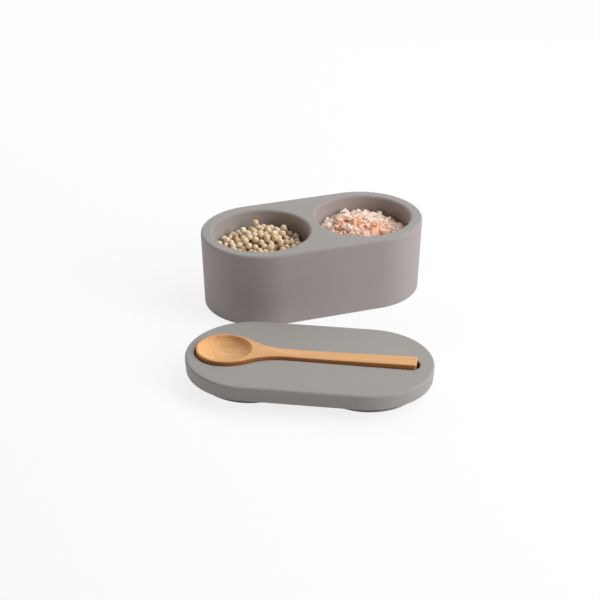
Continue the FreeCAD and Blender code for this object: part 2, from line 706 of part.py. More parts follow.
fill_sheet()
pieces = [
    make_box(),
    make_lid(),
    make_spoon(),
    make_filling("peppercorns", "pepper", -1),
    make_filling("pink_salt", "salt", 1),
]
doc.recompute()
check(pieces)
os.makedirs("parts", exist_ok=True)
for piece in pieces:
    piece.Shape.exportStep("parts/%s.step" % piece.Label)
    bounds = piece.Shape.BoundBox
    print("%-12s volume %9.0f  x %.1f..%.1f  y %.1f..%.1f  z %.1f..%.1f" % (
        piece.Label, piece.Shape.Volume, bounds.XMin, bounds.XMax,
        bounds.YMin, bounds.YMax, bounds.ZMin, bounds.ZMax))
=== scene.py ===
"""Looks of a cast spice box: its two wells and their fillings, its lid and the spoon in the lid.

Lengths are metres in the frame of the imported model: X along the box, Z up, the origin under its
middle. The box, the lid and the spoon keep their solids and get their finishes here. The two heaped
fillings are built here, grain by grain.
"""

import logging
import math
from collections.abc import Mapping, Sequence
from dataclasses import dataclass, field
from enum import Enum

import bpy
import numpy as np
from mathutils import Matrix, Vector
from numpy.typing import NDArray


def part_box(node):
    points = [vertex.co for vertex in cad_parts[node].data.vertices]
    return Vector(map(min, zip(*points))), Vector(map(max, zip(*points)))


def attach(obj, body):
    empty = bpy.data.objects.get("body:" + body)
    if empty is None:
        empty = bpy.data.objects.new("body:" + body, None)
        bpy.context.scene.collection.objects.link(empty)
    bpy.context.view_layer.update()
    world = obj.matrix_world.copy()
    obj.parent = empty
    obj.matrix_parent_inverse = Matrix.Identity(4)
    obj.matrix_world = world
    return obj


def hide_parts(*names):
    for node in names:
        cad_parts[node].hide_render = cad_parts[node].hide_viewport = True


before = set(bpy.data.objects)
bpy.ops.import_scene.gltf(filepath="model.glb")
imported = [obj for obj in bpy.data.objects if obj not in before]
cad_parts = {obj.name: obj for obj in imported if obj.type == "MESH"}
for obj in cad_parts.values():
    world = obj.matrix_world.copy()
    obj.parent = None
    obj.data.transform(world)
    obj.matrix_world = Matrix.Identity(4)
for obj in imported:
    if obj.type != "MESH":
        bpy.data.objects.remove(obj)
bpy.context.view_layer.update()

LOG = logging.getLogger("spice_box")

Array = NDArray[np.float64]
Index = NDArray[np.int64]
Span = tuple[float, float]
Triple = tuple[float, float, float]
Colour = Triple
Stops = Sequence[tuple[float, Colour]]

# Triangles smaller than this in plan, in square metres, count as standing on edge.
LEAST_AREA = 1e-12
# A place this share of a triangle beside it still counts as over it.
SHARE_SLACK = 1e-6


class Slot(str, Enum):
    """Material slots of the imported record."""

    CAST = "cast_mineral"
    WOOD = "spoon_wood"
    PEPPER = "white_pepper"
    SALT = "salt_crystals"


class Shading(Enum):
    """How light runs over the faces of a mesh."""

    SMOOTH = True
    FLAT = False


class Wire:
    """The output of a shader node. Arithmetic on it adds Math nodes."""

    def __init__(self, graph: "Graph", socket: bpy.types.NodeSocket | None) -> None:
        """Keep the graph and the socket, which is None for a node that ends the graph."""
        self.graph = graph
        self.socket = socket

    def math(self, operation: str, first: "Feed", second: "Feed" = 0.0) -> "Wire":
        """Join two values with a Math node.

        Args:
            operation: Name of the Math node's operation.
            first: Left value.
            second: Right value, unused by operations on one value.

        Returns:
            The result.
        """
        return self.graph.node("ShaderNodeMath", {"operation": operation}, {0: first, 1: second})

    def __add__(self, other: "Feed") -> "Wire":
        """Sum."""
        return self.math("ADD", self, other)

    def __radd__(self, other: "Feed") -> "Wire":
        """Sum with a number on the left."""
        return self.math("ADD", other, self)

    def __sub__(self, other: "Feed") -> "Wire":
        """Difference."""
        return self.math("SUBTRACT", self, other)

    def __rsub__(self, other: "Feed") -> "Wire":
        """Difference with a number on the left."""
        return self.math("SUBTRACT", other, self)

    def __mul__(self, other: "Feed") -> "Wire":
        """Product."""
        return self.math("MULTIPLY", self, other)

    def __rmul__(self, other: "Feed") -> "Wire":
        """Product with a number on the left."""
        return self.math("MULTIPLY", other, self)

    def __truediv__(self, other: "Feed") -> "Wire":
        """Quotient."""
        return self.math("DIVIDE", self, other)

    def __rtruediv__(self, other: "Feed") -> "Wire":
        """Quotient with a number on the left."""
        return self.math("DIVIDE", other, self)

    def __pow__(self, other: "Feed") -> "Wire":
        """Power."""
        return self.math("POWER", self, other)

    def __rpow__(self, other: "Feed") -> "Wire":
        """Power of a number on the left."""
        return self.math("POWER", other, self)

    def __abs__(self) -> "Wire":
        """Size without sign."""
        return self.math("ABSOLUTE", self)

    def swing(self) -> "Wire":
        """A noise between 0 and 1 as a swing about 0."""
        return self - 0.5

    def fraction(self) -> "Wire":
        """What is left after the whole number."""
        return self.math("FRACT", self)

    def fade(self, low: float, high: float) -> "Wire":
        """A smooth step from 0 at or below one value to 1 at or above another.

        Args:
            low: Where the step starts.
            high: Where it ends.

        Returns:
            The share of the step.
        """
        settings = {"interpolation_type": "SMOOTHSTEP"}
        inputs = {"Value": self, "From Min": low, "From Max": high}
        return self.graph.node("ShaderNodeMapRange", settings, inputs)


Feed = Wire | float | tuple[float, ...]


class Graph:
    """The nodes of one material or of the world."""

    def __init__(self, tree: bpy.types.NodeTree) -> None:
        """Start with no nodes."""
        self.tree = tree
        tree.nodes.clear()

    @staticmethod
    def set_stops(ramp: bpy.types.ColorRamp, stops: Stops) -> None:
        """Give a colour ramp its stops.

        Args:
            ramp: The ramp, which has two stops to begin with.
            stops: Places from 0 to 1 and their colours, in order.
        """
        while len(ramp.elements) < len(stops):
            ramp.elements.new(1.0)
        for element, (place, colour) in zip(ramp.elements, stops):
            element.position = place
            element.color = (*colour, 1.0)

    def node(
        self,
        kind: str,
        settings: Mapping[str, object] | None = None,
        inputs: Mapping[int | str, Feed] | None = None,
        output: int | str = 0,
    ) -> Wire:
        """Add a node of any kind.

        Args:
            kind: Blender's name of the node's type.
            settings: Properties, set first; "stops" holds those of a colour ramp.
            inputs: Values or wires for its sockets.
            output: The socket to return.

        Returns:
            That output, or an empty wire for a node that has none.
        """
        made = self.tree.nodes.new(kind)
        for name, value in (settings or {}).items():
            if name == "stops":
                self.set_stops(made.color_ramp, value)
            else:
                setattr(made, name, value)
        for key, value in (inputs or {}).items():
            socket = made.inputs[key]
            if isinstance(value, Wire):
                self.tree.links.new(value.socket, socket)
            elif isinstance(value, tuple):
                socket.default_value = (*value, 1.0)[: len(socket.default_value)]
            else:
                socket.default_value = value
        return Wire(self, made.outputs[output] if made.outputs else None)

    def place(self) -> Wire:
        """Object coordinates."""
        return self.node("ShaderNodeTexCoord", output="Object")

    def noise(self, place: Wire, scale: float, detail: float = 2.0, roughness: float = 0.5) -> Wire:
        """Cloudy values between 0 and 1.

        Args:
            place: Coordinates.
            scale: Clouds per metre.
            detail: Octaves of finer cloud.
            roughness: Share that each octave keeps.

        Returns:
            The value.
        """
        inputs = {"Vector": place, "Scale": scale, "Detail": detail, "Roughness": roughness}
        return self.node("ShaderNodeTexNoise", None, inputs)

    def stretched(self, place: Wire, factors: Triple) -> Wire:
        """Coordinates multiplied axis by axis."""
        return self.node("ShaderNodeVectorMath", {"operation": "MULTIPLY"}, {0: place, 1: factors})

    def scaled(self, colour: Feed, factor: Feed) -> Wire:
        """A colour made lighter or darker by a factor."""
        inputs = {0: colour, "Scale": factor}
        return self.node("ShaderNodeVectorMath", {"operation": "SCALE"}, inputs)

    def mixed(self, share: Feed, first: Feed, second: Feed) -> Wire:
        """Two colours mixed.

        Args:
            share: Share of the second colour.
            first: Colour at share 0.
            second: Colour at share 1.

        Returns:
            The mixture.
        """
        settings = {"data_type": "RGBA"}
        return self.node("ShaderNodeMix", settings, {0: share, 6: first, 7: second}, output=2)

    def ramp(self, value: Wire, stops: Stops) -> Wire:
        """A colour that follows a value along stops."""
        return self.node("ShaderNodeValToRGB", {"stops": stops}, {0: value})

    def attribute(self, name: str) -> Wire:
        """A number kept on the mesh's points."""
        return self.node("ShaderNodeAttribute", {"attribute_name": name}, output="Fac")

    def bump(self, height: Wire, depth: float) -> Wire:
        """A normal that follows small heights of a given depth in metres."""
        return self.node("ShaderNodeBump", None, {"Height": height, "Distance": depth})

    def axes(self, vector: Wire) -> tuple[Wire, Wire, Wire]:
        """The three parts of a vector."""
        made = self.node("ShaderNodeSeparateXYZ", None, {0: vector}).socket.node
        return tuple(Wire(self, socket) for socket in made.outputs)

    def finish(self, **inputs: Feed) -> None:
        """End a material in a Principled shader.

        Args:
            **inputs: Values and wires, named after its sockets with _ for each space.
        """
        named = {name.replace("_", " "): value for name, value in inputs.items()}
        shader = self.node("ShaderNodeBsdfPrincipled", None, named)
        self.node("ShaderNodeOutputMaterial", None, {"Surface": shader})


def new_graph(name: str) -> tuple[bpy.types.Material, Graph]:
    """An empty material.

    Args:
        name: Its name.

    Returns:
        The material and its graph.
    """
    material = bpy.data.materials.new(name)
    material.use_nodes = True
    return material, Graph(material.node_tree)


@dataclass(frozen=True)
class CastMineral:
    """Matte cast mineral: an even warm grey, faintly clouded, with fine sand in its skin.

    Upright faces are painted a little warmer than level ones: painted warm light on the sides.
    """

    name: str
    level_colour: Colour = (0.385, 0.367, 0.348)
    # Painted warm light: the colour of upright faces.
    painted_warm_side_colour: Colour = (0.398, 0.352, 0.340)
    cloud_scale: float = 26.0
    cloud_share: float = 0.07
    sand_scale: float = 2200.0
    sand_share: float = 0.10
    pinhole_scale: float = 420.0
    pinhole_size: float = 0.11
    # Painted shade in the pinholes.
    pinhole_shade_share: float = 0.16
    pinhole_span: Span = (0.5, 0.6)
    level_span: Span = (0.2, 0.9)
    skin_depth: float = 0.00006
    roughness: float = 0.72
    roughness_spread: float = 0.16
    shine: float = 0.32

    def material(self) -> bpy.types.Material:
        """Make the material."""
        material, graph = new_graph(self.name)
        place = graph.place()
        cloud = graph.noise(place, self.cloud_scale, detail=4.0)
        sand = graph.noise(place, self.sand_scale, detail=2.0, roughness=0.6)
        inputs = {"Vector": place, "Scale": self.pinhole_scale}
        cell = graph.node("ShaderNodeTexVoronoi", None, inputs)
        pinhole = (1.0 - cell.fade(0.0, self.pinhole_size)) * cloud.fade(*self.pinhole_span)
        normal = graph.node("ShaderNodeNewGeometry", output="Normal")
        level = abs(graph.axes(normal)[2]).fade(*self.level_span)
        tone = 1.0 + self.cloud_share * cloud.swing() + self.sand_share * sand.swing()
        # Pinholes are darkened in colour: painted shade in them.
        tone = tone - self.pinhole_shade_share * pinhole
        # Upright faces get the painted warm side colour, as painted light by how each face is
        # turned.
        colour = graph.mixed(level, self.painted_warm_side_colour, self.level_colour)
        graph.finish(
            Base_Color=graph.scaled(colour, tone),
            Roughness=self.roughness + self.roughness_spread * sand.swing(),
            Specular_IOR_Level=self.shine,
            Normal=graph.bump(sand - pinhole, self.skin_depth),
        )
        return material


@dataclass(frozen=True)
class CarvedWood:
    """Honey-coloured carved wood: growth layers about a far pith line, long fibres and short pores.

    Oil has drawn deeper into the sides than into the faces on top, and the sanded hollow is palest.
    Sides are painted darker and redder: painted shade, with some oil drawn deeper into them.
    The hollow is painted paler: painted light that lifts the shade in it.
    ends: those of the hollow and the sides are of how far a face looks up, from 0 to 1.
    """

    name: str
    tip: Triple
    turn: float
    early_colour: Colour = (0.90, 0.520, 0.235)
    late_colour: Colour = (0.62, 0.290, 0.105)
    pore_colour: Colour = (0.40, 0.19, 0.075)
    # Painted shade on the sides, with some oil drawn deeper.
    side_shade_and_oil_colour: Colour = (0.50, 0.195, 0.062)
    # Painted light in the hollow.
    painted_hollow_light_colour: Colour = (0.96, 0.575, 0.255)
    hollow_middle: float = 0.01925
    hollow_reach: Span = (0.0178, 0.0186)
    hollow_span: Span = (0.0, 0.2)
    side_shade_span: Span = (0.15, 0.80)
    pith_aside: float = 0.030
    pith_below: float = 0.046
    layer: float = 0.0023
    sway: float = 0.0042
    sway_stretch: Triple = (9.0, 40.0, 40.0)
    fibre_stretch: Triple = (26.0, 900.0, 900.0)
    pore_stretch: Triple = (110.0, 2400.0, 2400.0)
    late_power: float = 2.5
    late_end: Span = (0.9, 1.0)
    late_share: float = 0.16
    fibre_share: float = 1.2
    sway_share: float = 0.7
    shade_span: Span = (-0.35, 0.75)
    pore_span: Span = (0.60, 0.72)
    pore_share: float = 0.35
    pore_sink: float = 0.6
    grain_depth: float = 0.00005
    roughness: float = 0.58
    roughness_spread: float = 0.2
    pore_roughness: float = 0.1
    shine: float = 0.28

    def material(self) -> bpy.types.Material:
        """Make the material.

        A layer's place is the distance from the pith line, swayed by a long cloud and counted in
        layers; its fraction darkens slowly towards the end of each year's growth. The hollow is
        what faces up within a reach of the bowl's middle in plan, and is painted paler as painted
        light that lifts its shade. Elsewhere, a face counts as side the less it looks up, and sides
        are painted darker and redder: painted shade, with some oil drawn deeper into them.
        """
        material, graph = new_graph(self.name)
        settings = {"vector_type": "TEXTURE"}
        inputs = {"Vector": graph.place(), "Location": self.tip, "Rotation": (0.0, 0.0, self.turn)}
        along = graph.node("ShaderNodeMapping", settings, inputs)
        forward, aside, up = graph.axes(along)
        sway = graph.noise(graph.stretched(along, self.sway_stretch), 1.0, detail=3.0)
        fibres = graph.stretched(along, self.fibre_stretch)
        fibre = graph.noise(fibres, 1.0, detail=3.0, roughness=0.65)
        pores = graph.stretched(along, self.pore_stretch)
        pore = graph.noise(pores, 1.0).fade(*self.pore_span)
        pith = ((aside - self.pith_aside) ** 2.0 + (up + self.pith_below) ** 2.0) ** 0.5
        year = ((pith + self.sway * sway) / self.layer).fraction()
        late = year ** self.late_power * (1.0 - year.fade(*self.late_end))
        shade = self.late_share * late + self.fibre_share * fibre.swing()
        shade = shade + self.sway_share * sway.swing()
        upward = graph.axes(graph.node("ShaderNodeNewGeometry", output="Normal"))[2]
        reach = ((forward - self.hollow_middle) ** 2.0 + aside ** 2.0) ** 0.5
        hollow = upward.fade(*self.hollow_span) * (1.0 - reach.fade(*self.hollow_reach))
        # The hollow is painted paler: painted light that lifts the shade in it.
        early = graph.mixed(hollow, self.early_colour, self.painted_hollow_light_colour)
        colour = graph.mixed(shade.fade(*self.shade_span), early, self.late_colour)
        # Sides are painted darker and redder: painted shade, with some oil drawn deeper into them.
        side = (1.0 - upward.fade(*self.side_shade_span)) * (1.0 - hollow)
        colour = graph.mixed(side, colour, self.side_shade_and_oil_colour)
        roughness = self.roughness + self.roughness_spread * fibre.swing()
        graph.finish(
            Base_Color=graph.mixed(self.pore_share * pore, colour, self.pore_colour),
            Roughness=roughness + self.pore_roughness * pore,
            Specular_IOR_Level=self.shine,
            Normal=graph.bump(fibre - self.pore_sink * pore, self.grain_depth),
        )
        return material


@dataclass(frozen=True)
class PepperSkin:
    """Husked white pepper: cream to tan from grain to grain, mottled, brown in the dimple."""

    name: str
    stops: Stops = (
        (0.0, (0.38, 0.22, 0.11)),
        (0.25, (0.74, 0.53, 0.30)),
        (0.60, (0.92, 0.72, 0.47)),
        (1.0, (0.98, 0.85, 0.65)),
    )
    # The dimple's brown, also laid over the bed as painted shade in the gaps.
    dimple_and_gap_shade_colour: Colour = (0.13, 0.065, 0.032)
    mottle_scale: float = 900.0
    mottle_share: float = 0.30
    skin_depth: float = 0.00012
    roughness: float = 0.62
    roughness_spread: float = 0.2
    shine: float = 0.35

    def material(self) -> bpy.types.Material:
        """Make the material."""
        material, graph = new_graph(self.name)
        mottle = graph.noise(graph.place(), self.mottle_scale, detail=3.0, roughness=0.6)
        tone = graph.ramp(graph.attribute("tint"), self.stops)
        tone = graph.scaled(tone, 1.0 + self.mottle_share * mottle.swing())
        graph.finish(
            Base_Color=graph.mixed(graph.attribute("dimple"), tone, self.dimple_and_gap_shade_colour),
            Roughness=self.roughness + self.roughness_spread * mottle.swing(),
            Specular_IOR_Level=self.shine,
            Normal=graph.bump(mottle, self.skin_depth),
        )
        return material


@dataclass(frozen=True)
class SaltCrystal:
    """Coarse pink salt: white and pale pink to salmon and rust, clouded within each lump."""

    name: str
    stops: Stops = (
        (0.0, (1.0, 0.88, 0.80)),
        (0.32, (1.0, 0.76, 0.62)),
        (0.62, (1.0, 0.61, 0.43)),
        (0.88, (0.94, 0.44, 0.25)),
        (1.0, (0.62, 0.26, 0.17)),
    )
    cloud_scale: float = 330.0
    cloud_spread: float = 0.6
    frost_scale: float = 2600.0
    frost_depth: float = 0.00010
    roughness: float = 0.36
    roughness_spread: float = 0.3
    shine: float = 0.5

    def material(self) -> bpy.types.Material:
        """Make the material."""
        material, graph = new_graph(self.name)
        place = graph.place()
        cloud = graph.noise(place, self.cloud_scale, detail=3.0, roughness=0.6)
        frost = graph.noise(place, self.frost_scale)
        tint = graph.attribute("tint") + self.cloud_spread * cloud.swing()
        graph.finish(
            Base_Color=graph.ramp(tint, self.stops),
            Roughness=self.roughness + self.roughness_spread * frost.swing(),
            Specular_IOR_Level=self.shine,
            Normal=graph.bump(frost, self.frost_depth),
        )
        return material


@dataclass
class Surface:
    """Points, faces and point values of a mesh to be."""

    points: Array
    quads: Index
    triangles: Index
    values: dict[str, Array] = field(default_factory=dict)

    def to_object(self, name: str, shading: Shading) -> bpy.types.Object:
        """Put the surface into a new object at the origin.

        Args:
            name: Name of the piece.
            shading: Whether its faces are smoothed.

        Returns:
            The object, linked to the scene.
        """
        mesh = bpy.data.meshes.new(name)
        mesh.from_pydata(self.points, [], [*self.quads.tolist(), *self.triangles.tolist()])
        mesh.polygons.foreach_set("use_smooth", np.full(len(mesh.polygons), shading.value))
        for label, numbers in self.values.items():
            attribute = mesh.attributes.new(label, "FLOAT", "POINT")
            attribute.data.foreach_set("value", numbers.astype(np.float32))
        mesh.update()
        piece = bpy.data.objects.new(name, mesh)
        bpy.context.scene.collection.objects.link(piece)
        return piece

    def copies(self, points: Array) -> "Surface":
        """The same faces on many sets of points.

        Args:
            points: One set for each copy, as an array of copies, points and axes.

        Returns:
            One surface that holds all the copies.
        """
        count, size, _ = points.shape
        start = (np.arange(count) * size)[:, None, None]
        quads = (self.quads + start).reshape(-1, 4)
        triangles = (self.triangles + start).reshape(-1, 3)
        return Surface(points.reshape(-1, 3), quads, triangles)


def ring_faces(rings: int, sides: int) -> tuple[Index, Index]:
    """Faces that join one pole, rings of points and another pole into a closed skin.

    Args:
        rings: Count of rings, in order from the first pole to the last.
        sides: Points on each ring, anticlockwise seen from the first pole.

    Returns:
        The quads between rings and the triangles at the poles, pointing outwards.
    """
    here = 1 + np.arange(rings * sides).reshape(rings, sides)
    beside = np.roll(here, -1, axis=1)
    quads = np.stack((here[:-1], here[1:], beside[1:], beside[:-1]), axis=-1).reshape(-1, 4)
    first = np.stack((np.zeros_like(here[0]), here[0], beside[0]), axis=-1)
    last = np.stack((np.full_like(here[0], rings * sides + 1), beside[-1], here[-1]), axis=-1)
    return quads, np.vstack((first, last))


def ball(angles: Array, sides: int) -> Surface:
    """A unit ball with rings at given angles from its upper pole.

    The point at angle b on meridian a is (sin b cos a, sin b sin a, cos b). Each pole is one point.

    Args:
        angles: Angle of each ring.
        sides: Meridians.

    Returns:
        The ball.
    """
    polar, turn = np.meshgrid(angles, np.arange(sides) * math.tau / sides, indexing="ij")
    away = np.sin(polar)
    rings = np.stack((away * np.cos(turn), away * np.sin(turn), np.cos(polar)), axis=-1)
    points = np.vstack(((0.0, 0.0, 1.0), rings.reshape(-1, 3), (0.0, 0.0, -1.0)))
    return Surface(points, *ring_faces(len(angles), sides))


def random_turns(count: int, rng: np.random.Generator, tilt: float = 1.0) -> Array:
    """Rotation matrices spread over all turns.

    Each comes from a random unit quaternion (w, x, y, z) by the usual formula.

    Args:
        count: How many.
        rng: Source of random numbers.
        tilt: Size of x and y against w and z: 1 spreads evenly, 0 turns about the vertical alone.

    Returns:
        An array of 3 by 3 matrices.
    """
    q = rng.normal(size=(count, 4)) * (1.0, tilt, tilt, 1.0)
    w, x, y, z = q.T / np.linalg.norm(q, axis=1)
    rows = (
        (1 - 2 * (y * y + z * z), 2 * (x * y - z * w), 2 * (x * z + y * w)),
        (2 * (x * y + z * w), 1 - 2 * (x * x + z * z), 2 * (y * z - x * w)),
        (2 * (x * z - y * w), 2 * (y * z + x * w), 1 - 2 * (x * x + y * y)),
    )
    return np.moveaxis(np.array(rows), -1, 0)


def node_points(node: str) -> Array:
    """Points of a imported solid's mesh."""
    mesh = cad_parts[node].data
    points = np.empty(3 * len(mesh.vertices))
    mesh.vertices.foreach_get("co", points)
    return points.reshape(-1, 3)


def node_top(node: str, spots: Array) -> Array:
    """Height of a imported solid's upper skin over places in plan.

    A place lies over a triangle where its three shares of the corners are all above 0, and the
    height is then the sum of each share times its corner's height. The highest triangle counts.

    Args:
        node: Name of the solid.
        spots: Places in plan, as an array of places and axes.

    Returns:
        One height for each place, or minus infinity beside the solid.
    """
    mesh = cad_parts[node].data
    mesh.calc_loop_triangles()
    corners = np.empty(3 * len(mesh.loop_triangles), dtype=np.int32)
    mesh.loop_triangles.foreach_get("vertices", corners)
    first, second, third = np.moveaxis(node_points(node)[corners.reshape(-1, 3)], 1, 0)
    to_second, to_third = (second - first)[:, :2], (third - first)[:, :2]
    area = to_second[:, 0] * to_third[:, 1] - to_second[:, 1] * to_third[:, 0]
    upper = area > LEAST_AREA
    first, second, third, area = first[upper], second[upper], third[upper], area[upper]
    to_second, to_third = to_second[upper], to_third[upper]
    offset = spots[:, None, :] - first[:, :2]
    third_share = (to_second[:, 0] * offset[..., 1] - to_second[:, 1] * offset[..., 0]) / area
    second_share = (offset[..., 0] * to_third[:, 1] - offset[..., 1] * to_third[:, 0]) / area
    first_share = 1.0 - second_share - third_share
    over = np.minimum(np.minimum(first_share, second_share), third_share) > -SHARE_SLACK
    heights = first_share * first[:, 2] + second_share * second[:, 2] + third_share * third[:, 2]
    return np.where(over, heights, -np.inf).max(axis=1)


@dataclass
class Heap:
    """A filling heaped in a well: a closed bed with loose grains settled over it.

    Placed grains lie in the heap from the start, each as place east and north of the well's middle,
    radius, share of the radius that it stands above the heap, and tint.
    """

    node: str
    label: str
    slot: Slot
    cover: float
    seed: int
    drops: int
    finish: PepperSkin | SaltCrystal
    proud_range: Span
    placed: tuple[tuple[float, float, float, float, float], ...] = ()
    map_cells: int = 70
    bed_sides: int = 48
    bed_rings: int = 14
    foot_corner: float = 0.0068
    foot_lean: float = 0.0008
    wall_gap: float = 0.0003
    shading: Shading = Shading.SMOOTH
    bed_tint: Span = (0.1, 0.5)
    compass_points: int = 12
    roll_steps: tuple[float, ...] = (1.0, 1.0, 0.6, 0.6, 0.4, 0.4, 0.25, 0.25, 0.12, 0.12, 0.06)
    patience: int = 260

    def __post_init__(self) -> None:
        """Read the well's place and the heap's form from the solid that this heap stands for."""
        low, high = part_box(self.node)
        box_low, box_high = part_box("box")
        self.radius = min(high.y - low.y, high.x - low.x) / 2
        outer = low.x if abs(low.x) > abs(high.x) else high.x
        middle_x = outer - math.copysign(self.radius, outer)
        self.middle = np.array((middle_x, (box_low.y + box_high.y) / 2))
        self.foot = low.z
        self.rng = np.random.default_rng(self.seed)
        self.pitch = 2 * self.radius / self.map_cells
        line = self.pitch * np.arange(self.map_cells + 1) - self.radius
        spots = np.stack(np.meshgrid(line, line, indexing="ij"), axis=-1).reshape(-1, 2)
        away = np.linalg.norm(spots, axis=1, keepdims=True) / (self.radius - 2 * self.wall_gap)
        tops = node_top(self.node, spots / np.maximum(away, 1.0) + self.middle)
        self.map = tops.reshape(self.map_cells + 1, self.map_cells + 1)

    def surface(self, spots: Array) -> Array:
        """Height of the heap, blended between the four nearest points of its height map.

        Args:
            spots: Places in plan from the middle of the well.

        Returns:
            Heights in the frame.
        """
        place = (spots + self.radius) / self.pitch
        cell = np.clip(place.astype(int), 0, self.map_cells - 1)
        (i, j), (s, t) = np.moveaxis(cell, -1, 0), np.moveaxis(place - cell, -1, 0)
        near = self.map[i, j] * (1 - t) + self.map[i, j + 1] * t
        far = self.map[i + 1, j] * (1 - t) + self.map[i + 1, j + 1] * t
        return near * (1 - s) + far * s

    def first(self) -> Array:
        """The placed grains, as place, height and radius."""
        grains = np.array(self.placed).reshape(-1, 5)
        heights = self.surface(grains[:, :2]) + (grains[:, 3] - 1.0) * grains[:, 2]
        return np.column_stack((grains[:, :2], heights, grains[:, 2]))

    def bed(self) -> Surface:
        """The filling below the loose grains, closed all round.

        Rings widen over the top, where each point lies a cover below the heap's surface, and then
        run down the wall and in over the floor.

        Returns:
            The bed.
        """
        turn = np.arange(self.bed_sides) * math.tau / self.bed_sides
        rim = self.radius - self.wall_gap
        top = rim * np.linspace(0.0, 1.0, self.bed_rings + 1)[1:]
        wall = rim - self.foot_lean
        reach = np.concatenate((top, (wall, wall - self.foot_corner)))
        plan = reach[:, None, None] * np.stack((np.cos(turn), np.sin(turn)), axis=-1)
        heights = self.surface(plan) - self.cover
        heights[-2:] = np.array((self.foot + self.foot_corner, self.foot))[:, None]
        rings = np.concatenate((plan + self.middle, heights[..., None]), axis=-1).reshape(-1, 3)
        summit = (*self.middle, self.surface(np.zeros(2)) - self.cover)
        points = np.vstack((summit, rings, (*self.middle, self.foot)))
        values = {"tint": self.rng.uniform(*self.bed_tint, len(points))}
        return Surface(points, *ring_faces(len(reach), self.bed_sides), values)

    def resting(self, spots: Array, radius: float, settled: Array) -> Array:
        """How high a ball comes to rest at each of some places.

        It is the greatest of the bed's height plus the radius and, for each settled ball in reach,
        that ball's height plus the root of (sum of radii)^2 - (distance in plan)^2.

        Args:
            spots: Places in plan from the middle of the well.
            radius: The ball's radius.
            settled: Balls already there, as place, height and radius.

        Returns:
            Heights of the ball's centre.
        """
        apart = ((spots[:, None, :] - settled[None, :, :2]) ** 2).sum(-1)
        room = (radius + settled[:, 3]) ** 2 - apart
        touching = np.where(room > 0.0, settled[:, 2] + np.sqrt(np.maximum(room, 0.0)), -np.inf)
        bed = self.surface(spots) - self.cover + radius
        return np.maximum(bed, touching.max(axis=1, initial=-np.inf))

    def settle(self, radii: Array, first: Array) -> Array:
        """Drop balls one at a time and let each roll to a low place.

        A ball looks at a compass of nearby places and moves to the lowest, in shrinking steps. It
        stays if it then stands no prouder of the heap's surface than its own share of its radius.
        The heap is full after a long run of balls that don't stay.

        Args:
            radii: Radius of each ball dropped.
            first: Balls that lie there to begin with, as place, height and radius.

        Returns:
            The balls that stayed, after those that were there.
        """
        turn = np.arange(self.compass_points) * math.tau / self.compass_points
        compass = np.vstack(((0.0, 0.0), np.stack((np.cos(turn), np.sin(turn)), axis=-1)))
        steps = np.array(self.roll_steps)
        settled, misses = first, 0
        widest = max(radii.max(), first[:, 3].max(initial=0.0))
        for radius in radii:
            room = self.radius - radius
            angle, reach = self.rng.uniform(0.0, math.tau), room * math.sqrt(self.rng.uniform())
            spot = reach * np.array((math.cos(angle), math.sin(angle)))
            for step in radius * steps:
                apart = ((settled[:, :2] - spot) ** 2).sum(-1)
                near = settled[apart < (radius + step + widest) ** 2]
                spots = spot + step * compass
                outside = np.linalg.norm(spots, axis=1, keepdims=True) / room
                spots = spots / np.maximum(outside, 1.0)
                heights = self.resting(spots, radius, near)
                spot, height = spots[heights.argmin()], heights.min()
            proud = self.rng.uniform(*self.proud_range)
            if height + (1.0 - proud) * radius <= self.surface(spot):
                settled, misses = np.vstack((settled, (*spot, height, radius))), 0
            else:
                misses += 1
            if misses > self.patience:
                break
        return settled

    def grains(self) -> Surface:
        """The loose grains; each kind of filling makes its own."""
        raise NotImplementedError

    def build(self) -> list[bpy.types.Object]:
        """Make the bed and the grains, dress them and let them stand for the plain solid.

        Returns:
            Both pieces.
        """
        material = self.finish.material()
        made = [
            self.bed().to_object(self.label + "_bed", Shading.SMOOTH),
            self.grains().to_object(self.label + "_grains", self.shading),
        ]
        for piece in made:
            piece.data.materials.append(material)
            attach(piece, "box")
            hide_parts(self.node)
        return made


